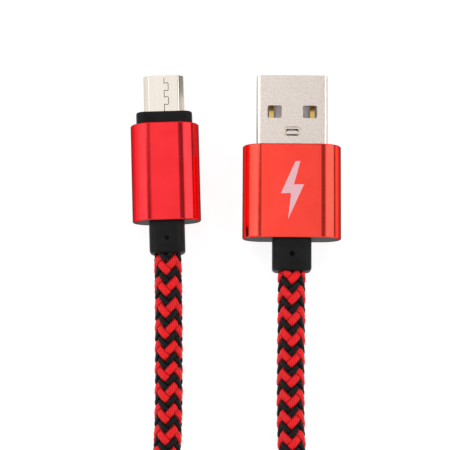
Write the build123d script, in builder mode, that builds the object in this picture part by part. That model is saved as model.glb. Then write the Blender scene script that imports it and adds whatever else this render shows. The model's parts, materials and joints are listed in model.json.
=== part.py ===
"""Charging cable: a USB-A plug and a micro-USB plug on one braided cord.

Millimetres, +Z up. The cable lies on the plane z = 0 with both plugs side by side, pointing
along +Y, and the cord's spare length tied in a hank in line with them. The origin is under the
middle of the two plugs. Inside a plug, places are given as x across it, y up, and the station,
which is the distance from the plug's tip back towards the cord.
"""

import math
import os

from build123d import *

os.makedirs("parts", exist_ok=True)

# ---------------------------------------------------------------- driving dimensions
axis_height = 3.5  # both plugs lie with their middle planes this high
sleeve_wall = 0.8
sleeve_chamfer = 0.15
body_thickness = 2 * (axis_height - sleeve_wall)
edge_round = 0.3
neck_round = 0.6

usb_tip = Vector(9.50, 16.8, axis_height)
usb_lean = -0.4  # degrees that the plug swings away from +Y
usb_width = 12.0  # of the metal shell, outside
usb_height = 4.5
usb_wall = 0.3
usb_corner = 0.65
usb_shell_end = 18.6
usb_insulator_front = 0.4
usb_base_front = 10.6  # the insulator's base block
usb_base_end = 13.5
usb_tail_end = 15.9
usb_shield_end = 23.4
usb_ring_end = 26.8
usb_jacket_front = 22.4
usb_braid_front = 28.6
usb_sleeve_front = 12.0
usb_sleeve_end = 27.9
usb_sleeve_width = 16.7
usb_neck_end = 33.4
usb_neck = (6.6, body_thickness, 1.4)  # width, height, corner radius
usb_pin_hole = (30.6, 0.45)  # station, radius

window = (2.4, 2.15, 0.3)
window_x = 3.0
window_station = 6.35
slot = (2.3, 1.24, 0.4)
slot_station = 9.88
dimple_depth = 0.16
shell_round = 0.1  # of a shell's front edges
seam_width = 0.1  # of the gap where a shell's folded edges meet
lance = (9.6, 10.16)  # stations of the sprung bar in the slot
lance_drop = 0.3  # of the bar below the inside of the wall
lance_depth = 0.2
lance_foot = 0.3  # of each of its two ends, under the wall beside the slot
lance_pad = (1.75, 0.15)  # width of the raised middle of the bar, and its height in the slot
tongue_top = -0.11  # height of the contact side of the USB-A tongue
contact_width = 0.8
contact_room = (0.3, 0.6)  # width and depth of the groove each side of a contact
contact_thickness = 0.25
power_front = 1.5
data_front = 2.5
power_pins = (-3.5, 3.5)
data_pins = (-1.0, 1.0)

micro_tip = Vector(-12.50, 17.07, axis_height)
micro_lean = 1.65
micro_wide = 6.85  # wide side of the micro plug's shell, which faces down
micro_narrow = 5.0  # narrow side with the seam, which faces up
micro_height = 1.85
micro_wall = 0.25
micro_corner = 0.3
micro_shell_end = 10.5
micro_insulator_front = 0.3
micro_base_front = 5.6
micro_base_end = 8.2
micro_tail_end = 9.8
micro_can = (8.0, 4.2, 0.8)  # rear screening can, outside
micro_shield_end = 18.5
micro_ring_end = 21.9
micro_jacket_front = 17.5
micro_braid_front = 26.0
micro_collar_front = 6.5
micro_collar = (9.5, 5.1, 1.5)  # width, height, corner radius
micro_sleeve_front = 8.6
micro_sleeve_end = 25.2
micro_sleeve_width = 11.6
micro_neck_end = 30.65
micro_neck = (6.0, 5.2, 1.6)
micro_pin_hole = (28.2, 0.4)

pin_pitch = 0.65  # of the five micro contacts
spring_width = 0.3
spring_thickness = 0.12
spring_top = 0.02
spring_front = 1.2
spring_root = 5.5
spring_dip = 0.18  # how far a contact spring bows towards the tongue that it meets
spring_room = 0.34  # height of the groove that a spring moves in
latch_x = 2.35  # middle of each latch arm
latch_width = 0.5
latch_depth = (0.42, 0.62)  # below the plug's middle plane
latch_front = 1.9
latch_root = 6.2
latch_tooth = 0.33  # how far a latch tooth stands out of the shell
latch_window = (0.76, 2.1)  # width and length
latch_window_station = 2.55
dovetails = (1.4, 3.82)  # front of each dovetail in the micro plug's seam
dovetail_length = 1.2
seam_x = 0.1  # of that seam from the plug's middle line
root_gap = 0.05  # between a moving spring and the fixed part that it flexes from

jacket_radius = 1.8  # PVC jacket under the braid
cord_radius = 2.3  # over the braid
wire_radius = 0.3
wire_bend = 0.9
wire_lift = 0.33  # of a wire's middle over the contact that it is soldered to
joint_setback = 0.25  # solder joints stop this far before the end of their tail
plate = 0.3  # screening cans' straps and crimp rings
strap_width = 2.0
strap_length = 0.8
strap_gap = 0.05  # between a strap and the jacket
pin_bite = 0.3  # pin holes reach this far below the top of the cord

hank_x = -1.1  # middle of the tied hank
hank_y = -100.0
hank_height = 9.1
hank_round = 1.5
lobe_offset = 26.0  # from the hank's middle to the centre of each end loop
lobe_radius = 21.0  # outside of an end loop
eye_radius = 11.4
waist = 9.5  # half the hank's width under its tie
tie_width = 8.0
tie_thickness = 0.8
tie_half_width = 10.2
tie_corner = 0.4
tie_gap = 0.1


# ---------------------------------------------------------------- places
def across(tip, lean, station):
    """Plane across a plug: local x across it, local y up, local z towards the cord."""
    swing = math.radians(lean)
    along = Vector(math.sin(swing), -math.cos(swing), 0)
    return Plane(tip + along * station, x_dir=(math.cos(swing), math.sin(swing), 0), z_dir=along)


def usb(station):
    return across(usb_tip, usb_lean, station)


def micro(station):
    return across(micro_tip, micro_lean, station)


def level(place, height):
    """Level plane over a plug's tip: local x across the plug, local y is minus the station."""
    tip = place(0)
    return Plane(tip.origin + Vector(0, 0, height), x_dir=tip.x_dir, z_dir=(0, 0, 1))


def beside(place, x):
    """Upright plane along a plug: local x is the station, local y is the depth below its middle."""
    tip = place(0)
    return Plane(tip.from_local_coords(Vector(x, 0, 0)), x_dir=tip.z_dir, z_dir=tip.x_dir)


# ---------------------------------------------------------------- sections and simple solids
def rounded(plane, width, height, corner):
    with BuildSketch(plane) as section:
        RectangleRounded(width, height, corner)
    return section.sketch


def flat_oval(plane, width, height):
    with BuildSketch(plane) as section:
        SlotOverall(width, height)
    return section.sketch


def disc(plane, radius):
    with BuildSketch(plane) as section:
        Circle(radius)
    return section.sketch


def micro_section(station, inset=0.0):
    """The micro plug's D shape: wide side down, sloping shoulders, narrow side up."""
    wide, narrow, half, knee = micro_wide / 2, micro_narrow / 2, micro_height / 2, 0.08
    corners = [(-wide, -half), (wide, -half), (wide, knee), (narrow, half), (-narrow, half)]
    with BuildSketch(micro(station)) as section:
        Polygon(*corners, (-wide, knee), align=None)
        fillet(section.vertices(), micro_corner)
        if inset:
            offset(amount=-inset, mode=Mode.REPLACE)
    return section.sketch


def prism(section, length):
    """Straight bar with the given section."""
    with BuildPart() as piece:
        extrude(section, amount=length)
    return piece.part


def bar(place, front, end, x_limits, y_limits):
    """Square bar along a plug between two stations."""
    with BuildSketch(place(front)) as section:
        with Locations((sum(x_limits) / 2, sum(y_limits) / 2)):
            Rectangle(x_limits[1] - x_limits[0], y_limits[1] - y_limits[0])
    return prism(section.sketch, end - front)


def bend_radii(route):
    """The largest tangent arc that the two runs beside each corner leave room for."""
    radii = []
    for before, corner, after in zip(route, route[1:], route[2:]):
        first, second = corner - before, after - corner
        half_turn = math.radians(first.get_angle(second)) / 2
        radii.append(0.45 * min(first.length, second.length) / math.tan(half_turn))
    return radii


def tube(route, radius, bends):
    """Round bar along straight runs joined by tangent arcs."""
    with BuildPart() as piece:
        with BuildLine():
            path = FilletPolyline(*route, radius=bends)
        with BuildSketch(Plane(path @ 0, z_dir=path % 0)):
            Circle(radius)
        sweep(path=path)
    return piece


def keep(piece, name):
    """Labels a finished piece and writes it."""
    piece.part.label = name
    export_step(piece.part, f"parts/{name}.step")


# ---------------------------------------------------------------- pieces that both plugs have
def sleeve(place, front, end, width):
    """Anodised aluminium tube with flat faces and half-round sides."""
    with BuildPart() as piece:
        extrude(flat_oval(place(front), width, 2 * axis_height), amount=end - front)
        ends = piece.faces().sort_by(Axis.Y)
        chamfer(ends[0].edges() + ends[-1].edges(), sleeve_chamfer)
        bore = flat_oval(place(front), width - 2 * sleeve_wall, body_thickness)
        extrude(bore, amount=end - front, mode=Mode.SUBTRACT)
    return piece


def body(place, stretches, neck, pin_hole, inside):
    """Black moulding inside the sleeve, with the neck that holds the cord.

    stretches are its sections, each with its length, the neck's last. inside are the solids
    that it is moulded round. The pin hole, where a mould pin held the cord, goes down to it.
    """
    hole_station, hole_radius = pin_hole
    with BuildPart() as piece:
        for section, length in stretches:
            extrude(section, amount=length)
        ends = piece.faces().sort_by(Axis.Y)
        fillet(ends[-1].edges(), edge_round)
        fillet(ends[0].edges(), neck_round)
        with BuildSketch(level(place, neck[1] / 2)):
            with Locations((0, -hole_station)):
                Circle(hole_radius)
        extrude(amount=cord_radius - pin_bite - neck[1] / 2, mode=Mode.SUBTRACT)
        for solid in inside:
            add(solid, mode=Mode.SUBTRACT)
    return piece


def solder_joint(place, x, tail_top, front, end, size):
    """Solder on top of a contact tail, with sloping sides."""
    with BuildPart() as piece:
        add(bar(place, front, end, (x - size / 2, x + size / 2), (tail_top, tail_top + size)))
        chamfer(piece.faces().sort_by(Axis.Z)[-1].edges(), 0.3 * size)
    return piece.part


def wire(place, pin_x, height, front, bundle, jacket_front):
    """Insulated wire from a solder joint back to its place in the cord's jacket."""
    reach = jacket_front - front
    stops = [
        (pin_x, height, front),
        (pin_x, height, front + 0.3 * reach),
        (*bundle, jacket_front - 0.2 * reach),
        (*bundle, jacket_front),
    ]
    route = [place(station).from_local_coords(Vector(x, y, 0)) for x, y, station in stops]
    return tube(route, wire_radius, wire_bend)


def cable_end(place, jacket_front, braid_front, end):
    """End of the cord inside a plug: its bare jacket, then with the braid on."""
    with BuildPart() as piece:
        extrude(disc(place(jacket_front), jacket_radius), amount=braid_front - jacket_front)
        extrude(disc(place(braid_front), cord_radius), amount=end - braid_front)
    return piece


def rear_shield(place, can, wall, front, end, ring_end):
    """Screening can behind the shell, with a strap to its crimp ring on the jacket."""
    width, height, corner = can
    ring_front = end + strap_length
    with BuildPart() as piece:
        extrude(rounded(place(front), *can), amount=end - front)
        room = rounded(place(front), width - 2 * wall, height - 2 * wall, corner - wall)
        extrude(room, amount=end - front, mode=Mode.SUBTRACT)
        underside = (-jacket_radius - plate, -jacket_radius - strap_gap)
        sides = (-strap_width / 2, strap_width / 2)
        add(bar(place, end, ring_front, sides, underside))
        extrude(disc(place(ring_front), jacket_radius + plate), amount=ring_end - ring_front)
        extrude(disc(place(ring_front), jacket_radius), amount=ring_end - ring_front,
                mode=Mode.SUBTRACT)
    return piece


def wires(place, pins, height, front, jacket_front, prefix):
    """The four wires of a plug. Each pin is a colour, its x and its place in the jacket."""
    leads = []
    for colour, pin_x, bundle in pins:
        lead = wire(place, pin_x, height, front, bundle, jacket_front)
        keep(lead, f"{prefix}_wire_{colour}")
        leads.append(lead.part)
    return leads


# ---------------------------------------------------------------- USB-A plug
usb_outside = (usb_width, usb_height, usb_corner)
usb_inside = (usb_width - 2 * usb_wall, usb_height - 2 * usb_wall, usb_corner - usb_wall)
usb_inner_top = usb_height / 2 - usb_wall

with BuildPart() as usb_a_shell:
    extrude(rounded(usb(0), *usb_outside), amount=usb_shell_end)
    fillet(usb_a_shell.faces().sort_by(Axis.Y)[-1].edges(), shell_round)
    # dimple round the slot
    with BuildSketch(level(usb, usb_height / 2)):
        rim = [(1.0, -8.9), (1.5, -9.35), (1.5, -10.0), (1.15, -10.42)]
        Polygon(*rim, *[(-x, y) for x, y in reversed(rim)], align=None)
    extrude(amount=-dimple_depth, taper=30, mode=Mode.SUBTRACT)
    extrude(rounded(usb(0), *usb_inside), amount=usb_shell_end, mode=Mode.SUBTRACT)
    # windows in the top and the bottom, where a socket's springs catch
    with BuildSketch(level(usb, -usb_height)):
        with Locations((-window_x, -window_station), (window_x, -window_station)):
            RectangleRounded(*window)
    extrude(amount=2 * usb_height, mode=Mode.SUBTRACT)
    # slot in the top with the sprung bar that locks the insulator
    with BuildSketch(level(usb, 0)):
        with Locations((0, -slot_station)):
            RectangleRounded(*slot)
    extrude(amount=usb_height, mode=Mode.SUBTRACT)
    reach = slot[0] / 2 + lance_foot
    lance_top = usb_inner_top - lance_drop
    add(bar(usb, *lance, (-reach, reach), (lance_top - lance_depth, lance_top)))
    for foot in ((-reach, -slot[0] / 2), (slot[0] / 2, reach)):
        add(bar(usb, *lance, foot, (lance_top, usb_inner_top)))
    pad_width, pad_height = lance_pad
    pad = (-pad_width / 2, pad_width / 2)
    add(bar(usb, *lance, pad, (lance_top, usb_inner_top + pad_height)))
    # seam along the bottom, with one dovetail
    with BuildSketch(level(usb, -usb_height / 2)):
        with BuildLine():
            Polyline((0, 0), (0, -3.0), (0.9, -2.8), (0.9, -4.8), (0, -4.6), (0, -usb_shell_end))
        trace(line_width=seam_width)
    extrude(amount=usb_wall, mode=Mode.SUBTRACT)
keep(usb_a_shell, "usb_a_shell")


def flat_contacts(pins, front):
    """Flat contacts from the tongue, through the base block, to their solder tails."""
    half = contact_width / 2
    with BuildPart() as contacts:
        for x in pins:
            heights = (tongue_top - contact_thickness, tongue_top)
            add(bar(usb, front, usb_tail_end, (x - half, x + half), heights))
    return contacts


usb_a_power_contacts = flat_contacts(power_pins, power_front)
keep(usb_a_power_contacts, "usb_a_power_contacts")
usb_a_data_contacts = flat_contacts(data_pins, data_front)
keep(usb_a_data_contacts, "usb_a_data_contacts")

with BuildPart() as usb_a_insulator:
    whole = usb_base_end - usb_insulator_front
    extrude(rounded(usb(usb_insulator_front), *usb_inside), amount=whole)
    hollow = (tongue_top, usb_height)
    add(bar(usb, 0, usb_base_front, (-usb_width, usb_width), hollow), mode=Mode.SUBTRACT)
    room_width, room_depth = contact_room
    for x in power_pins + data_pins:
        for side in (x - (contact_width + room_width) / 2, x + (contact_width + room_width) / 2):
            groove = (side - room_width / 2, side + room_width / 2)
            heights = (tongue_top - room_depth, 0)
            add(bar(usb, power_front, usb_base_front, groove, heights), mode=Mode.SUBTRACT)
    add(usb_a_power_contacts.part, mode=Mode.SUBTRACT)
    add(usb_a_data_contacts.part, mode=Mode.SUBTRACT)
keep(usb_a_insulator, "usb_a_insulator")

usb_joint_front = usb_base_end + joint_setback
usb_joint_end = usb_tail_end - joint_setback
with BuildPart() as usb_a_solder_joints:
    for x in power_pins + data_pins:
        add(solder_joint(usb, x, tongue_top, usb_joint_front, usb_joint_end, 0.8))
keep(usb_a_solder_joints, "usb_a_solder_joints")

usb_pins = [
    ("black", -3.5, (-0.5, -0.5)),
    ("green", -1.0, (-0.5, 0.5)),
    ("white", 1.0, (0.5, 0.5)),
    ("red", 3.5, (0.5, -0.5)),
]
usb_wires = wires(
    usb, usb_pins, tongue_top + wire_lift, usb_joint_end, usb_jacket_front, "usb_a"
)

usb_a_cable_end = cable_end(usb, usb_jacket_front, usb_braid_front, usb_neck_end)
keep(usb_a_cable_end, "usb_a_cable_end")

with BuildPart() as usb_a_inner_mould:
    extrude(rounded(usb(usb_base_end), *usb_inside), amount=usb_shield_end - usb_base_end)
    held = [usb_a_power_contacts, usb_a_data_contacts, usb_a_solder_joints, usb_a_cable_end]
    for solid in [piece.part for piece in held] + usb_wires:
        add(solid, mode=Mode.SUBTRACT)
keep(usb_a_inner_mould, "usb_a_inner_mould")

usb_a_rear_shield = rear_shield(
    usb, usb_outside, usb_wall, usb_shell_end, usb_shield_end, usb_ring_end
)
keep(usb_a_rear_shield, "usb_a_rear_shield")

usb_body_front = usb_sleeve_front + 0.2
usb_metal = prism(rounded(usb(usb_body_front), *usb_outside), usb_shield_end - usb_body_front)
usb_bore = usb_sleeve_width - 2 * sleeve_wall
usb_a_body = body(
    usb,
    [
        (flat_oval(usb(usb_body_front), usb_bore, body_thickness), usb_sleeve_end - usb_body_front),
        (rounded(usb(usb_sleeve_end), *usb_neck), usb_neck_end - usb_sleeve_end),
    ],
    usb_neck, usb_pin_hole,
    [usb_metal, usb_a_rear_shield.part, usb_a_cable_end.part],
)
keep(usb_a_body, "usb_a_body")

usb_a_sleeve = sleeve(usb, usb_sleeve_front, usb_sleeve_end, usb_sleeve_width)
keep(usb_a_sleeve, "usb_a_sleeve")

# ---------------------------------------------------------------- micro-USB plug
pin_places = [pin_pitch * step for step in (-2, -1, 0, 1, 2)]

with BuildPart() as micro_shell:
    extrude(micro_section(0), amount=micro_shell_end)
    fillet(micro_shell.faces().sort_by(Axis.Y)[-1].edges(), shell_round)
    extrude(micro_section(0, micro_wall), amount=micro_shell_end, mode=Mode.SUBTRACT)
    # windows in the wide side, for the latch teeth
    with BuildSketch(level(micro, -micro_height)):
        with Locations((-latch_x, -latch_window_station), (latch_x, -latch_window_station)):
            Rectangle(*latch_window)
    extrude(amount=micro_height, mode=Mode.SUBTRACT)
    # seam with two dovetails in the narrow side
    with BuildSketch(level(micro, micro_height / 2)):
        with BuildLine():
            seam = [(seam_x, 0)]
            for front in dovetails:
                end = front + dovetail_length
                seam += [(seam_x, -front), (0.65, -front + 0.1), (0.8, -front - 0.05)]
                seam += [(0.8, -end + 0.05), (0.65, -end - 0.1), (seam_x, -end)]
            Polyline(*seam, (seam_x, -micro_shell_end))
        trace(line_width=seam_width)
    extrude(amount=-micro_wall, mode=Mode.SUBTRACT)
keep(micro_shell, "micro_shell")

with BuildPart() as micro_contact_springs:
    for x in pin_places:
        with BuildSketch(beside(micro, x - spring_width / 2)):
            with BuildLine():
                upper = [(spring_root, -spring_top), (3.2, -spring_top)]
                upper += [(2.4, spring_dip - spring_top), (1.8, spring_dip - spring_top)]
                upper += [(spring_front, 0.02)]
                lower = [(along, depth + spring_thickness) for along, depth in reversed(upper)]
                Polyline(*upper, *lower, close=True)
            make_face()
        extrude(amount=spring_width)
keep(micro_contact_springs, "micro_contact_springs")

with BuildPart() as micro_contact_tails:
    for x in pin_places:
        sides = (x - spring_width / 2, x + spring_width / 2)
        heights = (spring_top - spring_thickness, spring_top)
        add(bar(micro, spring_root + root_gap, micro_tail_end, sides, heights))
keep(micro_contact_tails, "micro_contact_tails")


def latch_arm(x):
    """Sprung arm with a tooth that stands out of its window in the wide side."""
    top, under = latch_depth
    tooth_tip = micro_height / 2 + latch_tooth
    with BuildPart() as arm:
        with BuildSketch(beside(micro, x - latch_width / 2)):
            with BuildLine():
                Polyline(
                    (latch_front, top), (latch_root, top), (latch_root, under), (3.2, under),
                    (3.1, tooth_tip), (2.75, tooth_tip), (2.05, under), (latch_front, under),
                    close=True,
                )
            make_face()
        extrude(amount=latch_width)
    return arm


micro_latch_left = latch_arm(-latch_x)
keep(micro_latch_left, "micro_latch_left")
micro_latch_right = latch_arm(latch_x)
keep(micro_latch_right, "micro_latch_right")

micro_floor = micro_wall - micro_height / 2
latch_pocket = latch_width / 2 + 0.08
with BuildPart() as micro_latch_base:
    for x in (-latch_x, latch_x):
        sides = (x - latch_pocket, x + latch_pocket)
        add(bar(micro, latch_root + root_gap, 8.0, sides, (micro_floor, -0.3)))
    add(bar(micro, 7.2, 8.0, (-latch_x, latch_x), (micro_floor, -0.45)))
keep(micro_latch_base, "micro_latch_base")

with BuildPart() as micro_insulator:
    whole = micro_base_end - micro_insulator_front
    extrude(micro_section(micro_insulator_front, micro_wall), amount=whole)
    beyond = micro_wide
    hollow = (-micro_height, -0.02)
    add(bar(micro, 0, micro_base_front, (-beyond, beyond), hollow), mode=Mode.SUBTRACT)
    for sides in ((-beyond, -1.95), (1.95, beyond)):
        add(bar(micro, 0, micro_base_front, sides, (-0.1, 0.2)), mode=Mode.SUBTRACT)
    for x in pin_places:
        groove = (x - spring_width / 2 - 0.06, x + spring_width / 2 + 0.06)
        add(bar(micro, 0, micro_base_front, groove, (-0.1, spring_room)), mode=Mode.SUBTRACT)
    for x in (-latch_x, latch_x):
        sides = (x - latch_pocket, x + latch_pocket)
        add(bar(micro, 5.5, 7.0, sides, (-micro_height, -0.3)), mode=Mode.SUBTRACT)
    add(micro_latch_base.part, mode=Mode.SUBTRACT)
    add(micro_contact_tails.part, mode=Mode.SUBTRACT)
keep(micro_insulator, "micro_insulator")

micro_pins = [
    ("red", pin_places[0], (-0.5, -0.5)),
    ("white", pin_places[1], (-0.5, 0.5)),
    ("green", pin_places[2], (0.5, 0.5)),
    ("black", pin_places[4], (0.5, -0.5)),
]
micro_joint_front = micro_base_end + joint_setback
micro_joint_end = micro_tail_end - joint_setback
with BuildPart() as micro_solder_joints:
    for _, x, _ in micro_pins:
        add(solder_joint(micro, x, spring_top, micro_joint_front, micro_joint_end, 0.5))
keep(micro_solder_joints, "micro_solder_joints")

micro_wires = wires(
    micro, micro_pins, spring_top + wire_lift, micro_joint_end, micro_jacket_front, "micro"
)

micro_cable_end = cable_end(micro, micro_jacket_front, micro_braid_front, micro_neck_end)
keep(micro_cable_end, "micro_cable_end")

with BuildPart() as micro_inner_mould:
    in_shell = micro_shell_end - micro_base_end
    extrude(micro_section(micro_base_end, micro_wall), amount=in_shell)
    width, height, corner = micro_can
    can_room = (width - 2 * micro_wall, height - 2 * micro_wall, corner - micro_wall)
    in_can = micro_shield_end - micro_shell_end
    extrude(rounded(micro(micro_shell_end), *can_room), amount=in_can)
    held = [micro_contact_tails, micro_solder_joints, micro_cable_end]
    for solid in [piece.part for piece in held] + micro_wires:
        add(solid, mode=Mode.SUBTRACT)
keep(micro_inner_mould, "micro_inner_mould")

micro_rear_shield = rear_shield(
    micro, micro_can, micro_wall, micro_shell_end, micro_shield_end, micro_ring_end
)
keep(micro_rear_shield, "micro_rear_shield")

micro_bore = flat_oval(
    micro(micro_sleeve_front), micro_sleeve_width - 2 * sleeve_wall, body_thickness
)
micro_body = body(
    micro,
    [
        (rounded(micro(micro_collar_front), *micro_collar), micro_sleeve_front - micro_collar_front),
        (micro_bore, micro_sleeve_end - micro_sleeve_front),
        (rounded(micro(micro_sleeve_end), *micro_neck), micro_neck_end - micro_sleeve_end),
    ],
    micro_neck, micro_pin_hole,
    [
        prism(micro_section(micro_collar_front), micro_shell_end - micro_collar_front),
        prism(rounded(micro(micro_shell_end), *micro_can), micro_shield_end - micro_shell_end),
        micro_rear_shield.part,
        micro_cable_end.part,
    ],
)
keep(micro_body, "micro_body")

micro_sleeve = sleeve(micro, micro_sleeve_front, micro_sleeve_end, micro_sleeve_width)
keep(micro_sleeve, "micro_sleeve")

# ---------------------------------------------------------------- cord
lay = cord_radius  # height of the cord's middle where it lies on the table
first_run = 7.4  # straight out of each plug's neck
micro_route = [
    micro(micro_neck_end).origin,
    micro(micro_neck_end + first_run).origin,
    Vector(-11.4, -30.0, 2.5),
    Vector(-11.35, -39.5, lay),
    Vector(-11.7, -49.5, lay),
    Vector(-14.3, -58.0, lay),
    Vector(-18.0, -65.0, lay),
    Vector(-19.6, -72.0, lay),
]
usb_route = [
    usb(usb_neck_end).origin,
    usb(usb_neck_end + first_run).origin,
    Vector(9.07, -32.5, 2.5),
    Vector(9.0, -41.5, lay),
    Vector(9.35, -50.0, lay),
    Vector(11.9, -58.0, lay),
    Vector(15.8, -65.0, lay),
    Vector(17.4, -72.0, lay),
]
for name, route in (("micro_cord", micro_route), ("usb_a_cord", usb_route)):
    bends = bend_radii(route)
    cord = tube(route, cord_radius, bends)
    keep(cord, name)
    section = math.pi * cord_radius**2
    length = sum((after - before).length for before, after in zip(route, route[1:]))
    print(name, "bend radii", [round(bend, 1) for bend in bends])
    print(name, "volume", round(cord.part.volume, 1), "section x runs", round(section * length, 1))

# ---------------------------------------------------------------- hank and its tie
waist_radius = (waist**2 + lobe_offset**2 - lobe_radius**2) / (2 * (lobe_radius - waist))
waist_centre = waist + waist_radius
meeting = math.atan2(lobe_offset, waist_centre)  # where a waist arc meets a lobe
shoulder = (lobe_radius * math.cos(meeting), lobe_offset - lobe_radius * math.sin(meeting))
lobes = [(0, lobe_offset), (0, -lobe_offset)]

with BuildPart() as cord_hank:
    with BuildSketch(Plane((hank_x, hank_y, 0))):
        with Locations(*lobes):
            Circle(lobe_radius)
        Rectangle(2 * shoulder[0], 2 * shoulder[1])
        with Locations((waist_centre, 0), (-waist_centre, 0)):
            Circle(waist_radius, mode=Mode.SUBTRACT)
        with Locations(*lobes):
            Circle(eye_radius, mode=Mode.SUBTRACT)
    extrude(amount=hank_height)
    fillet(cord_hank.edges().filter_by(Plane.XY), hank_round)
    with BuildSketch(Plane((hank_x, hank_y, 0))):
        Rectangle(3 * waist, tie_width + 0.6)
    extrude(amount=tie_thickness + tie_gap, mode=Mode.SUBTRACT)
keep(cord_hank, "cord_hank")

with BuildPart() as hank_tie:
    opening = (2 * tie_half_width, hank_height + tie_gap - tie_thickness)
    middle = Vector(hank_x, hank_y + tie_width / 2, tie_thickness + opening[1] / 2)
    tie_plane = Plane(middle, x_dir=(1, 0, 0), z_dir=(0, -1, 0))
    outer = [size + 2 * tie_thickness for size in opening]
    extrude(rounded(tie_plane, *outer, tie_corner + tie_thickness), amount=tie_width)
    extrude(rounded(tie_plane, *opening, tie_corner), amount=tie_width, mode=Mode.SUBTRACT)
keep(hank_tie, "hank_tie")
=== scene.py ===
import json
import math

import bpy
import numpy as np
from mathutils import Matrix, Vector


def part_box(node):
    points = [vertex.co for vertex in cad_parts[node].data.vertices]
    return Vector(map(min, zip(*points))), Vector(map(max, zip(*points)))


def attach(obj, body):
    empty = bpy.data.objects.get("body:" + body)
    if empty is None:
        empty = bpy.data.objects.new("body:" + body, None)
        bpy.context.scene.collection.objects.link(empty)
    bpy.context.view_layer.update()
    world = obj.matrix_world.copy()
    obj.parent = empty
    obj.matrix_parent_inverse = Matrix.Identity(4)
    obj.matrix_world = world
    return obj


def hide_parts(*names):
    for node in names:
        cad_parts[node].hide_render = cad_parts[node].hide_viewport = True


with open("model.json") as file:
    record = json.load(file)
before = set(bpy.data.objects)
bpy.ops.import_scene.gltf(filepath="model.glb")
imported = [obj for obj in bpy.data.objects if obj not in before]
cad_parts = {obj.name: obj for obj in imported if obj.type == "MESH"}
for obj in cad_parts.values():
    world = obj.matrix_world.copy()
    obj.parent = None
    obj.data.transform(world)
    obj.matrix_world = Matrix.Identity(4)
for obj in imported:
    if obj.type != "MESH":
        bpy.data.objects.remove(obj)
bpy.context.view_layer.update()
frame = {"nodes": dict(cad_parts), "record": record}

mm = 0.001

# ---------------------------------------------------------------- driving sizes, in metres
cord_radius = 2.3 * mm  # over the braid
core_radius = 1.75 * mm  # of the dark jacket under the braid

# the hank: four strands a side, two wide and two high, folded round two end loops
hank_middle = Vector((-1.1, -100.0, 0.0)) * mm
bundle_waist = 4.85 * mm  # from the hank's middle line to the middle of a side's strands
lobe_offset = 26.0 * mm
lobe_radius = 16.35 * mm
strand_out = 2.35 * mm  # half the distance between strands that lie side by side
strand_up = 2.25 * mm  # and between strands that lie on each other
bottom_folds = 4
lobe_points = 12
waist_points = 5

# the braid: eight carriers each way, over two and under two
carriers = 8
column = 2 * math.pi / carriers  # angle of one column of the herringbone
column_lead = 1.773 * mm  # how far along the cord a carrier runs while it crosses a column
usb_column_lead = 1.726 * mm  # the same on the USB-A lead
micro_offset = 1.08 * mm  # of the pattern from the micro-USB plug's neck
usb_phase = 0.81  # of the pattern at the USB-A plug's neck, in columns
braid_middle = 1.75 * mm  # radius where over and under meet
braid_swing = 0.29 * mm
yarn_widths = {"red": 1.44 * mm, "black": 1.02 * mm}
yarn_height = 0.72 * mm
yarn_sinks = {"red": 0.0, "black": 0.05 * mm}  # how much deeper a colour lies
lead_twist = math.radians(-32)  # where the herringbone's columns lie on the micro-USB lead
usb_twist = math.radians(1.5)  # and on the USB-A lead
twist_wander = math.radians(6)  # how far the columns wander to and fro, less and less
wander_length = 38 * mm

strap_width = 8.0 * mm
strap_thickness = 0.8 * mm
strap_top = 10.2 * mm
strap_corner = 2.8 * mm  # radius of the bend at each side
lower_rise = strap_thickness + 0.1 * mm  # how much the strap lifts the hank's lower strands
upper_rise = 0.6 * mm  # and its upper ones


# ---------------------------------------------------------------- shader helpers
mix_share, mix_first, mix_second, mix_result = 0, 6, 7, 2  # a Mix node's sockets for colours


def socket_of(node, name, value):
    """Sets a node's input to a plain value, or links another node's output to it."""
    if isinstance(value, bpy.types.NodeSocket):
        node.id_data.links.new(value, node.inputs[name])
    else:
        node.inputs[name].default_value = value


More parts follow.
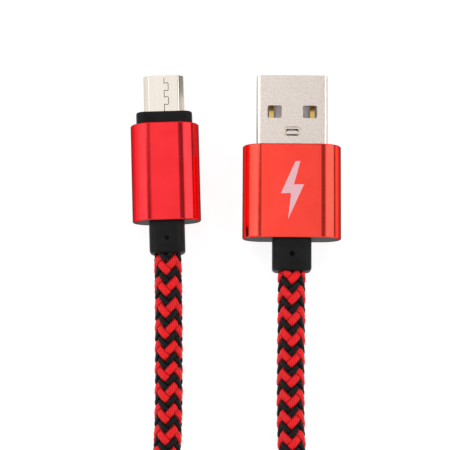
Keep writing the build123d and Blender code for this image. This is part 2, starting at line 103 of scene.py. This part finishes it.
class Finish:
    """A material whose Principled shader takes plain values or other nodes' outputs."""

    def __init__(self, name, **values):
        self.material = bpy.data.materials.new(name)
        self.material.use_nodes = True
        self.tree = self.material.node_tree
        self.shader = self.tree.nodes["Principled BSDF"]
        self.place = self.add("ShaderNodeTexCoord").outputs["Object"]
        for socket, value in values.items():
            self.set(socket, value)

    def add(self, kind, inputs=None, **settings):
        node = self.tree.nodes.new(kind)
        for name, value in settings.items():
            setattr(node, name, value)
        for name, value in (inputs or {}).items():
            socket_of(node, name, value)
        return node

    def set(self, socket, value):
        if isinstance(value, tuple):
            value = (*value, 1.0)
        socket_of(self.shader, socket.replace("_", " "), value)

    def noise(self, scale, detail=2.0, stretch=(1, 1, 1), roughness=0.5):
        """Noise with that many grains a metre, stretched along the axes."""
        place = self.add("ShaderNodeMapping", {"Vector": self.place, "Scale": stretch})
        inputs = {"Vector": place.outputs[0], "Scale": scale, "Detail": detail}
        inputs["Roughness"] = roughness
        return self.add("ShaderNodeTexNoise", inputs).outputs["Fac"]

    def ramp(self, value, low, high, bottom=0.3, top=0.7):
        """Value from bottom to top turned into low to high."""
        inputs = {"Value": value, "From Min": bottom, "From Max": top, "To Min": low, "To Max": high}
        return self.add("ShaderNodeMapRange", inputs).outputs[0]

    def mix(self, share, first, second):
        """First colour at a share of 0, second at 1."""
        mixed = self.add("ShaderNodeMix", data_type="RGBA")
        socket_of(mixed, mix_share, share)
        socket_of(mixed, mix_first, (*first, 1.0) if isinstance(first, tuple) else first)
        socket_of(mixed, mix_second, (*second, 1.0) if isinstance(second, tuple) else second)
        return mixed.outputs[mix_result]

    def calculate(self, operation, first, second=0.0):
        node = self.add("ShaderNodeMath", operation=operation)
        socket_of(node, 0, first)
        socket_of(node, 1, second)
        return node.outputs[0]

    def bump(self, height, depth, strength=1.0, under=None):
        """Relief of that depth in metres, on top of another bump if one is given."""
        inputs = {"Height": height, "Distance": depth, "Strength": strength}
        if under is not None:
            inputs["Normal"] = under
        normal = self.add("ShaderNodeBump", inputs).outputs[0]
        self.set("Normal", normal)
        return normal


# ---------------------------------------------------------------- materials
def red_sleeve(name, dark, light):
    """Bead-blasted aluminium, dyed red and sealed. Its rounded edges turn dark."""
    finish = Finish(name, Metallic=1.0)
    grain = finish.noise(9000, 3)
    cloud = finish.noise(260, 2)
    finish.set("Base_Color", finish.mix(finish.ramp(cloud, 0, 1), dark, light))
    finish.set("Roughness", finish.ramp(grain, 0.15, 0.21))
    finish.set("Specular_Tint", (0.02, 0.02, 0.02))
    finish.set("Coat_Weight", 0.08)
    finish.set("Coat_Roughness", 0.12)
    finish.bump(grain, 0.008 * mm, 0.3)
    return finish.material


def satin_shell():
    """Nickel plate over finely grained sheet steel."""
    finish = Finish("satin_nickel", Metallic=1.0)
    grain = finish.noise(3800, 4, roughness=0.65)
    speckle = finish.ramp(grain, 0, 1, 0.34, 0.64)
    finish.set("Base_Color", finish.mix(speckle, (0.71, 0.63, 0.57), (0.89, 0.80, 0.735)))
    finish.set("Roughness", finish.ramp(grain, 0.28, 0.38))
    finish.set("Specular_Tint", (0.05, 0.05, 0.05))
    finish.bump(grain, 0.02 * mm, 0.35)
    return finish.material


def polished_shell():
    """Bright nickel plate with fine marks along the plug."""
    finish = Finish("polished_nickel", Metallic=1.0)
    marks = finish.noise(1200, 3, (1, 0.08, 1))
    finish.set("Base_Color", finish.mix(finish.ramp(marks, 0, 1), (0.70, 0.635, 0.565), (0.77, 0.71, 0.64)))
    finish.set("Roughness", finish.ramp(marks, 0.12, 0.20))
    finish.set("Specular_Tint", (0.05, 0.05, 0.05))
    finish.bump(marks, 0.01 * mm, 0.3)
    return finish.material


def metal(name, dark, light, rough):
    """Plain plated metal with fine marks."""
    finish = Finish(name, Metallic=1.0)
    marks = finish.noise(3000, 3, (1, 0.15, 1))
    finish.set("Base_Color", finish.mix(finish.ramp(marks, 0, 1), dark, light))
    finish.set("Roughness", finish.ramp(marks, rough, rough + 0.12))
    finish.bump(marks, 0.01 * mm, 0.4)
    return finish.material


def moulding(name, dark, light, rough):
    """Moulded plastic with a spark-eroded surface."""
    finish = Finish(name, Metallic=0.0)
    grain = finish.noise(5200, 4)
    cloud = finish.noise(500, 2)
    finish.set("Base_Color", finish.mix(finish.ramp(cloud, 0, 1), dark, light))
    finish.set("Roughness", finish.ramp(grain, rough, rough + 0.15))
    finish.set("Specular_IOR_Level", 0.09)
    finish.bump(grain, 0.02 * mm, 0.6)
    return finish.material


def yarn(name, painted_edge_shade, dark, light, rough, sheen):
    """Twisted nylon yarn. Its fibres run along the strand, which is the map's second axis.

    The first axis goes round the strand. Its two edges, tucked under the next strands, carry painted shade:
    the base colour darkens there.
    """
    finish = Finish(name, Metallic=0.0)
    place = finish.add("ShaderNodeUVMap", uv_map="OFBake").outputs[0]
    round_share, along_share = finish.add("ShaderNodeSeparateXYZ", {"Vector": place}).outputs[:2]
    fibres_round, fibres_along = 10.0, 6.0  # counted once round a strand and along one tile
    turns = finish.calculate("MULTIPLY", round_share, fibres_round)
    lay = finish.calculate("ADD", turns, finish.calculate("MULTIPLY", along_share, fibres_along))
    wave = finish.calculate("SINE", finish.calculate("MULTIPLY", lay, 2 * math.pi))
    fuzz = finish.noise(5200, 3)
    fibres = finish.ramp(wave, 0, 1, -1, 1)
    mottle = finish.calculate("MULTIPLY", fibres, finish.ramp(fuzz, 0.35, 1.0))
    # painted shade: the base colour darkens towards the strand's two edges, where they tuck under the next
    # strands
    round_strand = finish.calculate("MULTIPLY", round_share, 2 * math.pi)
    edge = finish.calculate("ABSOLUTE", finish.calculate("COSINE", round_strand))
    painted_shade_mask = finish.ramp(edge, 0, 0.85, 0.55, 0.97)
    finish.set("Base_Color", finish.mix(painted_shade_mask, finish.mix(mottle, dark, light), painted_edge_shade))
    finish.set("Roughness", finish.ramp(fuzz, rough, rough + 0.2))
    finish.set("Specular_IOR_Level", 0.12)
    finish.set("Sheen_Weight", sheen)
    finish.set("Sheen_Roughness", 0.4)
    relief = finish.bump(fibres, 0.03 * mm, 0.35)
    finish.bump(fuzz, 0.02 * mm, 0.25, relief)
    return finish.material


def strap_cloth():
    """Black loop fabric of a hook-and-loop strap."""
    finish = Finish("loop_fabric", Metallic=0.0)
    loops = finish.noise(2600, 4, roughness=0.7)
    rows = finish.noise(900, 2, (1, 0.3, 1))
    black, grey = (0.004, 0.004, 0.005), (0.022, 0.022, 0.025)
    finish.set("Base_Color", finish.mix(finish.ramp(loops, 0, 1), black, grey))
    finish.set("Roughness", finish.ramp(rows, 0.8, 0.95))
    finish.set("Specular_IOR_Level", 0.2)
    finish.set("Sheen_Weight", 0.1)
    relief = finish.bump(rows, 0.12 * mm, 0.6)
    finish.bump(loops, 0.2 * mm, 0.9, relief)
    return finish.material


def etched():
    """Bare aluminium where a laser took the dye away."""
    finish = Finish("laser_etched", Metallic=0.35, Roughness=0.6)
    grain = finish.noise(9000, 3)
    finish.set("Base_Color", finish.mix(finish.ramp(grain, 0, 1), (0.66, 0.36, 0.40), (0.74, 0.45, 0.49)))
    finish.bump(grain, 0.01 * mm, 0.4)
    return finish.material


finishes = {
    "red_sleeve": red_sleeve("red_anodised", (0.93, 0.060, 0.040), (0.99, 0.070, 0.048)),
    "satin_shell": satin_shell(),
    "polished_shell": polished_shell(),
    "plated_steel": metal("tin_plate", (0.62, 0.61, 0.59), (0.74, 0.73, 0.71), 0.3),
    "spring_steel": metal("spring_steel", (0.66, 0.65, 0.63), (0.80, 0.79, 0.77), 0.22),
    "gold_contacts": metal("gold_plate", (0.66, 0.42, 0.10), (0.84, 0.58, 0.20), 0.16),
    "solder": metal("solder", (0.60, 0.60, 0.61), (0.78, 0.78, 0.79), 0.2),
    "black_moulding": moulding("black_moulding", (0.006, 0.006, 0.006), (0.010, 0.010, 0.010), 0.42),
    "black_insulator": moulding("black_insulator", (0.006, 0.006, 0.006), (0.012, 0.012, 0.012), 0.5),
    "pale_insulator": moulding("pale_insulator", (0.86, 0.83, 0.86), (0.92, 0.89, 0.92), 0.4),
    "inner_mould": moulding("inner_mould", (0.70, 0.69, 0.64), (0.80, 0.79, 0.74), 0.5),
    "braided_cord": moulding("cord_jacket", (0.004, 0.003, 0.003), (0.012, 0.008, 0.008), 0.75),
    "hook_and_loop_strap": strap_cloth(),
    "wire_red": moulding("wire_red", (0.60, 0.02, 0.02), (0.70, 0.03, 0.03), 0.3),
    "wire_white": moulding("wire_white", (0.76, 0.76, 0.74), (0.84, 0.84, 0.82), 0.3),
    "wire_green": moulding("wire_green", (0.03, 0.34, 0.09), (0.05, 0.42, 0.12), 0.3),
    "wire_black": moulding("wire_black", (0.012, 0.012, 0.012), (0.02, 0.02, 0.02), 0.3),
}
yarns = {
    # each yarn's first colour is its painted shade at the strand's edges; then its own darkest and lightest
    # colours
    "red": yarn("red_yarn", (0.09, 0.0, 0.001), (0.54, 0.004, 0.006), (0.95, 0.022, 0.026), 0.34, 0.02),
    "black": yarn("black_yarn", (0.0, 0.0, 0.0), (0.002, 0.002, 0.002), (0.011, 0.010, 0.011), 0.42, 0.02),
}

for part in frame["record"]["subparts"]:
    slots = frame["nodes"][part["node"]].data.materials
    slots.clear()
    slots.append(finishes[part["material_slot"]])

# the micro-USB plug's sleeve is dyed a pinker red than the other one
pinker_red = red_sleeve("red_anodised_micro", (0.78, 0.025, 0.031), (0.84, 0.031, 0.038))
frame["nodes"]["micro_sleeve"].data.materials[0] = pinker_red


# ---------------------------------------------------------------- meshes
def new_piece(name, vertices, faces, material):
    """Mesh object that rides on the cable's body. Vertices are in metres."""
    mesh = bpy.data.meshes.new(name)
    mesh.from_pydata(vertices, [], faces)
    mesh.update()
    piece = bpy.data.objects.new(name, mesh)
    bpy.context.scene.collection.objects.link(piece)
    mesh.materials.append(material)
    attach(piece, "cable")
    return piece


# ---------------------------------------------------------------- the cord's route
# control points in millimetres, from each plug's neck to the hank
micro_lead = [
    (-11.617, -13.567, 3.5),
    (-11.404, -20.964, 3.5),
    (-11.4, -30.0, 2.5),
    (-11.35, -39.5, 2.3),
    (-11.7, -49.5, 2.3),
    (-14.3, -58.0, 2.3),
    (-18.0, -65.0, 2.3),
    (-19.6, -72.0, 2.3),
]
usb_lead = [
    (9.267, -16.599, 3.5),
    (9.215, -23.999, 3.5),
    (9.07, -32.5, 2.5),
    (9.0, -41.5, 2.3),
    (9.35, -50.0, 2.3),
    (11.9, -58.0, 2.3),
    (15.8, -65.0, 2.3),
    (17.4, -72.0, 2.3),
]


def smooth(share):
    """From 0 to 1, level at both ends."""
    share = min(1.0, max(0.0, share))
    return share * share * (3 - 2 * share)


def hank_points():
    """The hank's turns, from the end of the micro-USB lead to the start of the USB-A lead.

    A side's four strands are the corners of a square, seen along the bundle. A turn keeps its
    corner along the sides and round the top, and moves on to the next one round the bottom.
    """
    middle = cord_radius + strand_up
    flank = (bundle_waist**2 + lobe_offset**2 - lobe_radius**2) / (2 * (lobe_radius - bundle_waist))
    flank_x = bundle_waist + flank
    meeting = math.atan2(lobe_offset, flank_x)
    sweep = math.pi + 2 * meeting
    corner_size = math.hypot(strand_out, strand_up)
    lead_in = math.radians(15)
    changing_lift = 0.46 * strand_up  # of a strand, halfway through a change of place
    strap_reach = 0.8 * strap_width  # how far along the bundle the strap's lift is felt

    def place(x, y, height):
        """A point of the hank, lifted where the strap goes round it."""
        under_strap = math.exp(-((y / strap_reach) ** 2))
        rise = lower_rise if height < middle else upper_rise
        return hank_middle + Vector((x, y, height + rise * under_strap))

    def spot(turned, spread=0.0):
        """How far out and how high the strand lies after that many quarter turns.

        Spread is how far it has got in changing its place, from 0 to 1.
        """
        corner = -math.pi / 4 - turned * math.pi / 2
        lift = changing_lift * abs(math.sin(spread * math.pi))
        return corner_size * math.cos(corner), middle + corner_size * math.sin(corner) + lift

    points = []

    def lobe(end, start, stop, turned):
        """Round an end loop, from the angle start to stop. At the bottom the strand changes place."""
        steps = math.ceil(lobe_points * (stop - start) / sweep)
        for step in range(steps):
            share = step / steps
            moved = smooth(share) if end < 0 else 0.0
            out, height = spot(turned + moved, moved)
            angle = start + (stop - start) * share
            radius = lobe_radius + out
            x, y = radius * math.cos(angle), end * lobe_offset + radius * math.sin(angle)
            points.append(place(x, y, height))

    def side(sign, turned):
        """Down the left side, sign -1, or up the right side, sign 1."""
        out, height = spot(turned)
        for step in range(waist_points):
            angle = meeting * (1 - 2 * step / waist_points)
            radius = flank - out
            x, y = sign * (flank_x - radius * math.cos(angle)), -sign * radius * math.sin(angle)
            points.append(place(x, y, height))

    lobe(1, math.pi + lead_in, math.pi + meeting, 0)
    for turn in range(bottom_folds):
        side(-1, turn)
        lobe(-1, math.pi - meeting, math.pi - meeting + sweep, turn)
        side(1, turn + 1)
        if turn < bottom_folds - 1:
            lobe(1, -meeting, sweep - meeting, turn + 1)
    lobe(1, -meeting, 0, bottom_folds)
    return points


def cord_core():
    """The cord's jacket, and the points along its middle line."""
    leads = [[Vector(point) * mm for point in lead] for lead in (micro_lead, usb_lead)]
    route = leads[0] + hank_points() + leads[1][::-1]
    curve = bpy.data.curves.new("cord_core", "CURVE")
    curve.dimensions = "3D"
    curve.resolution_u = 16
    spline = curve.splines.new("NURBS")
    spline.points.add(len(route) - 1)
    for control, point in zip(spline.points, route):
        control.co = (*point, 1.0)
    spline.order_u = 3
    spline.use_endpoint_u = True
    core = bpy.data.objects.new("cord_core", curve)
    bpy.context.scene.collection.objects.link(core)
    bare = bpy.data.meshes.new_from_object(core)
    line = np.array([vertex.co for vertex in bare.vertices])
    bpy.data.meshes.remove(bare)
    curve.bevel_depth = core_radius
    curve.bevel_resolution = 3
    curve.use_fill_caps = True
    curve.materials.append(finishes["braided_cord"])
    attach(core, "cable")
    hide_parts("micro_cord", "usb_a_cord", "cord_hank")
    return core, line


def unit(vectors):
    """Each row made one long."""
    return vectors / np.linalg.norm(vectors, axis=1)[:, None]


class Line:
    """A smooth line with a level side direction, for wrapping things round it."""

    def __init__(self, points):
        self.points = points
        steps = np.linalg.norm(np.diff(points, axis=0), axis=1)
        self.along = np.concatenate([[0], np.cumsum(steps)])
        self.length = self.along[-1]
        ahead = unit(np.gradient(points, self.along, axis=0))
        self.side = unit(np.cross(ahead, (0, 0, 1)))
        self.up = np.cross(self.side, ahead)

    def at(self, table, along):
        """The table's rows read at places along the line."""
        return np.stack([np.interp(along, self.along, table[:, k]) for k in range(3)], axis=-1)

    def wrap(self, along, angle, radius):
        """Points at that angle from the top, towards the side, and that far from the line."""
        out = self.at(self.up, along) * np.cos(angle)[..., None]
        out = out + self.at(self.side, along) * np.sin(angle)[..., None]
        return self.at(self.points, along) + out * radius[..., None]


def braid_twist(along, line, leads):
    """The herringbone's turn about the cord: nearly steady on both leads, it changes in the hank."""
    share = np.clip((along - leads[0]) / (line.length - leads[0] - leads[1]), 0, 1)
    wander = twist_wander * np.cos(2 * math.pi * along / wander_length) * (1 - share)
    return lead_twist + (usb_twist - lead_twist) * share - wander


def braid_phase(along, line, leads):
    """How many columns a carrier has crossed, with the pattern set at both plugs' necks."""
    ends = [0, leads[0], line.length - leads[1], line.length]
    start = -micro_offset / column_lead
    whole = 2 * round(line.length / column_lead / 2) + usb_phase
    phases = [start, start + leads[0] / column_lead, whole - leads[1] / usb_column_lead, whole]
    return np.interp(along, ends, phases)


def strands(name, line, start, stop, step, section, sink, leads, colour, material):
    """The carriers of one colour, both ways round, from start to stop along the line."""
    rings = max(2, round((stop - start) / step) + 1)
    along = np.linspace(start, stop, rings)
    lean = math.atan2(column * (braid_middle + braid_swing), column_lead)
    twist = braid_twist(along, line, leads)
    phase = braid_phase(along, line, leads)
    count = len(section)
    vertices, faces, places = [], [], []
    tile = 8  # rings in one repeat of the map
    sharpness = 3.0  # of the change between over and under
    highest = 0.25  # where a carrier is furthest over, in columns
    for way in (1, -1):
        for carrier in range(colour, carriers, 2):
            turned = way * phase + carrier
            over = np.tanh(sharpness * np.cos(math.pi * (turned - highest)))
            swing = way * over / math.tanh(sharpness)
            middle = braid_middle - sink + braid_swing * swing
            x, y = section[:, 0][None, :], section[:, 1][None, :]
            angle = (twist + column * turned)[:, None] + x * math.cos(lean) / middle[:, None]
            lies = np.clip(along[:, None] - way * x * math.sin(lean), start, stop)
            ring = line.wrap(lies, angle, middle[:, None] + y)
            first = len(vertices) * rings * count
            vertices.append(ring.reshape(-1, 3))
            for i in range(rings - 1):
                for j in range(count):
                    k = (j + 1) % count
                    a, b = first + i * count, first + (i + 1) * count
                    faces.append((a + j, a + k, b + k, b + j))
                    u, v = j / count, i % tile / tile
                    next_u, next_v = u + 1 / count, v + 1 / tile
                    places.append(((u, v), (next_u, v), (next_u, next_v), (u, next_v)))
            for i, order in ((0, range(count)), (rings - 1, range(count - 1, -1, -1))):
                faces.append([first + i * count + j for j in order])
                places.append([(j / count, 0.5) for j in range(count)])
    piece = new_piece(name, np.concatenate(vertices).tolist(), faces, material)
    chart = piece.data.uv_layers.new(name="OFBake")
    flat = np.array([number for face in places for point in face for number in point])
    chart.data.foreach_set("uv", flat)
    piece.data.polygons.foreach_set("use_smooth", [True] * len(faces))
    return piece


def yarn_section(points, width):
    """A strand's domed oval section, in the order that turns its faces outward."""
    turn = np.linspace(0, 2 * math.pi, points, endpoint=False)
    return np.stack([width / 2 * np.cos(turn), -yarn_height / 2 * np.sin(turn)], axis=1)


def braid(line, leads):
    """Yarn over the whole cord, finer on the two leads."""
    hank_start, hank_stop = leads[0], line.length - leads[1]
    # name, start, stop, distance between rings, points round a strand
    stretches = [
        ("micro", 0.0, hank_start, 0.25 * mm, 14),
        ("hank", hank_start, hank_stop, 0.55 * mm, 6),
        ("usb", hank_stop, line.length, 0.25 * mm, 14),
    ]
    made = []
    for label, start, stop, step, points in stretches:
        for colour, (word, material) in enumerate(yarns.items()):
            name = f"braid_{label}_{word}"
            section, sink = yarn_section(points, yarn_widths[word]), yarn_sinks[word]
            made.append(strands(name, line, start, stop, step, section, sink, leads, colour, material))
    return made


def reaches(line, point):
    """How far along the line its nearest place to a point is."""
    return line.along[np.linalg.norm(line.points - np.array(point), axis=1).argmin()]


core, core_line = cord_core()
line = Line(core_line)
leads = (
    reaches(line, Vector(micro_lead[-1]) * mm),
    line.length - reaches(line, Vector(usb_lead[-1]) * mm),
)
braid_pieces = braid(line, leads)


# ---------------------------------------------------------------- the hank's strap
def strap_section():
    """The strap cut across, a rectangle with soft edges, in the order that turns its faces outward."""
    points = 16
    half_thickness = 0.46 * strap_thickness
    flat_ends, flat_faces = 0.25, 0.6  # powers of the cosine and sine; the smaller, the squarer
    section = []
    for step in range(points):
        turn = -2 * math.pi * step / points
        wide, thick = math.cos(turn), math.sin(turn)
        section.append((
            0.5 * strap_width * math.copysign(abs(wide) ** flat_ends, wide),
            half_thickness * math.copysign(abs(thick) ** flat_faces, thick),
        ))
    return section


def strap():
    """A hook-and-loop strap once round the hank's waist, its end pressed down on top."""
    low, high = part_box("hank_tie")
    half_width = (high.x - low.x) / 2 - strap_thickness / 2
    half_height = (strap_top - strap_thickness / 2) / 2
    centre = Vector(((low.x + high.x) / 2, (low.y + high.y) / 2, strap_thickness / 2 + half_height))
    straight_x, straight_z = half_width - strap_corner, half_height - strap_corner
    quarter = strap_corner * math.pi / 2
    lap = 4 * (straight_x + straight_z) + 4 * quarter

    def loop(along):
        """Point and outward direction on the lap, from the middle of the top, clockwise."""
        along %= lap
        runs = (straight_x, 2 * straight_z, 2 * straight_x, 2 * straight_z, straight_x)
        x, z, heading = 0.0, half_height, 0.0
        for index, run in enumerate(runs):
            if along <= run or index == len(runs) - 1:
                x, z = x + along * math.cos(heading), z - along * math.sin(heading)
                return x, z, math.sin(heading), math.cos(heading)
            x, z = x + run * math.cos(heading), z - run * math.sin(heading)
            along -= run
            bend_x = x - strap_corner * math.sin(heading)
            bend_z = z - strap_corner * math.cos(heading)
            if along <= quarter:
                out_x = math.sin(heading + along / strap_corner)
                out_z = math.cos(heading + along / strap_corner)
                return bend_x + strap_corner * out_x, bend_z + strap_corner * out_z, out_x, out_z
            along -= quarter
            heading += math.pi / 2
            x = bend_x + strap_corner * math.sin(heading)
            z = bend_z + strap_corner * math.cos(heading)

    start, tail = -0.45 * half_width, 0.5 * half_width  # from the middle of the top
    total = lap + tail - start
    rings = 150
    climb = 3 * mm  # how far the strap takes to climb on its own first turn
    curl_start, curl_length, curl_height = 12 * mm, 4 * mm, 0.35 * mm  # where the end lifts
    rounding = 1.2 * mm  # of the strap's end
    end_width = 0.65  # of the strap's very end, as a share
    ripple_height, ripple_length = 0.04 * mm, 0.9 * mm
    section = strap_section()
    vertices = []
    for ring in range(rings):
        along = start + total * ring / (rings - 1)
        x, z, out_x, out_z = loop(along)
        past = along - (lap + start - climb)
        over = smooth(past / climb) * strap_thickness
        curl = curl_height * smooth((past - curl_start) / curl_length)
        left = max(0.0, (total - (along - start)) / rounding)
        round_end = min(1.0, math.sqrt(left) * (1 - end_width) + end_width)
        for wide, thick in section:
            ripple = ripple_height * math.sin(along / ripple_length + wide / mm)
            away = over + curl + thick + ripple
            vertices.append((centre.x + x + out_x * away, centre.y + wide * round_end,
                             centre.z + z + out_z * away))
    count = len(section)
    faces = []
    for first in range(0, (rings - 1) * count, count):
        second = first + count
        for j in range(count):
            k = (j + 1) % count
            faces.append((first + j, second + j, second + k, first + k))
    faces.append(list(range(count)))
    faces.append([(rings - 1) * count + j for j in range(count - 1, -1, -1)])
    cloth = finishes["hook_and_loop_strap"]
    piece = new_piece("hank_strap", vertices, faces, cloth)
    piece.data.polygons.foreach_set("use_smooth", [True] * len(faces))
    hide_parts("hank_tie")
    return piece


strap_piece = strap()


# ---------------------------------------------------------------- the etched mark
def bolt():
    """A plain lightning bolt, etched in the middle of the USB-A sleeve's upper flat."""
    low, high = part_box("usb_a_sleeve")
    middle_x, middle_y = (low.x + high.x) / 2, (low.y + high.y) / 2
    outline = [
        (0.55, 4.9), (-1.95, -0.55), (-0.25, -0.55), (-0.75, -4.9), (1.95, 0.95), (0.25, 0.95), (1.35, 4.9),
    ]
    depth = 0.02 * mm
    bottom = [(middle_x + x * mm, middle_y + y * mm, high.z - depth) for x, y in outline]
    top = [(x, y, high.z + depth) for x, y, _ in bottom]
    count = len(outline)
    faces = [list(range(count))[::-1], [count + k for k in range(count)]]
    faces += [(k, (k + 1) % count, count + (k + 1) % count, count + k) for k in range(count)]
    return new_piece("etched_bolt", bottom + top, faces, etched())


bolt()


# ---------------------------------------------------------------- stage, light and camera
def floor():
    """A pale sheet that glows a little, so that it comes out white."""
    half = 1.5
    corners = [(-half, -half, 0), (half, -half, 0), (half, half, 0), (-half, half, 0)]
    mesh = bpy.data.meshes.new("floor")
    mesh.from_pydata(corners, [], [(0, 1, 2, 3)])
    piece = bpy.data.objects.new("floor", mesh)
    bpy.context.scene.collection.objects.link(piece)
    finish = Finish("pale_floor", Roughness=0.9, Specular_IOR_Level=0.1)
    finish.set("Emission_Color", (1.0, 1.0, 1.0))
    finish.set("Emission_Strength", 0.85)
    paper = finish.noise(300, 2)
    finish.set("Base_Color", finish.mix(finish.ramp(paper, 0, 1), (0.20, 0.20, 0.20), (0.24, 0.24, 0.24)))
    mesh.materials.append(finish.material)


def panel(name, place, aim, width, length, power):
    """Softbox of that size, facing a point."""
    light = bpy.data.lights.new(name, "AREA")
    light.shape = "RECTANGLE"
    light.size, light.size_y = width, length
    light.energy = power
    lamp = bpy.data.objects.new(name, light)
    lamp.location = place
    lamp.rotation_mode = "QUATERNION"
    lamp.rotation_quaternion = (Vector(aim) - Vector(place)).to_track_quat("-Z", "Y")
    bpy.context.scene.collection.objects.link(lamp)


def lights():
    """A white tent with brighter sides, and two dark gaps beside the opening for the camera.

    The bands are brightnesses along X, overhead and low down.
    """
    bands = [(-1.0, 1.6), (-0.52, 2.2), (-0.48, 0.16), (-0.22, 0.16), (-0.16, 1.26), (0.06, 1.24),
             (0.10, 0.26), (0.44, 0.26), (0.50, 2.2), (1.0, 2.2)]
    low_bands = [(-1.0, 1.1), (-0.5, 1.0), (0.5, 0.9), (0.8, 0.12), (1.0, 0.12)]
    low_end, overhead_start = 0.16, 0.30  # heights between which one gives way to the other
    world = bpy.data.worlds.new("tent")
    world.use_nodes = True
    tree = world.node_tree
    background = tree.nodes["Background"]
    heading = tree.nodes.new("ShaderNodeSeparateXYZ")
    tree.links.new(tree.nodes.new("ShaderNodeTexCoord").outputs["Generated"], heading.inputs[0])
    sideways = tree.nodes.new("ShaderNodeMapRange")
    sideways.inputs["From Min"].default_value = -1.0
    tree.links.new(heading.outputs["X"], sideways.inputs["Value"])
    brightest = max(level for _, level in bands)
    ramps = []
    for stretch in (low_bands, bands):
        ramp = tree.nodes.new("ShaderNodeValToRGB")
        tree.links.new(sideways.outputs[0], ramp.inputs[0])
        stops = ramp.color_ramp.elements
        while len(stops) < len(stretch):
            stops.new(0.5)
        for stop, (x, level) in zip(stops, stretch):
            stop.position = (x + 1) / 2
            stop.color = (*[level / brightest] * 3, 1.0)
        ramps.append(ramp)
    overhead = tree.nodes.new("ShaderNodeMapRange")
    overhead.inputs["From Min"].default_value = low_end
    overhead.inputs["From Max"].default_value = overhead_start
    tree.links.new(heading.outputs["Z"], overhead.inputs["Value"])
    mixed = tree.nodes.new("ShaderNodeMix")
    mixed.data_type = "RGBA"
    tree.links.new(overhead.outputs[0], mixed.inputs[mix_share])
    tree.links.new(ramps[0].outputs[0], mixed.inputs[mix_first])
    tree.links.new(ramps[1].outputs[0], mixed.inputs[mix_second])
    tree.links.new(mixed.outputs[mix_result], background.inputs["Color"])
    background.inputs["Strength"].default_value = brightest
    bpy.context.scene.world = world
    panel("key_panel", (-0.25, 0.30, 0.55), (0, -0.02, 0), 0.3, 0.3, 0.6)


def camera():
    """Above the table, leaning a little towards the cord."""
    target = Vector((-1.95, -8.6, 3.5)) * mm
    distance = 0.30
    elevation = math.radians(82.0)
    back = Vector((0, -math.cos(elevation), math.sin(elevation)))
    data = bpy.data.cameras.new("camera")
    data.sensor_width = 36.0
    seen = 76.1 * mm  # the picture's width at the target
    data.lens = data.sensor_width * distance / seen
    data.clip_start, data.clip_end = 0.01, 10.0
    eye = bpy.data.objects.new("camera", data)
    eye.location = target + back * distance
    eye.rotation_mode = "QUATERNION"
    eye.rotation_quaternion = (-back).to_track_quat("-Z", "Y")
    bpy.context.scene.collection.objects.link(eye)
    bpy.context.scene.camera = eye


floor()
lights()
camera()
bpy.context.scene.view_settings.view_transform = "Standard"
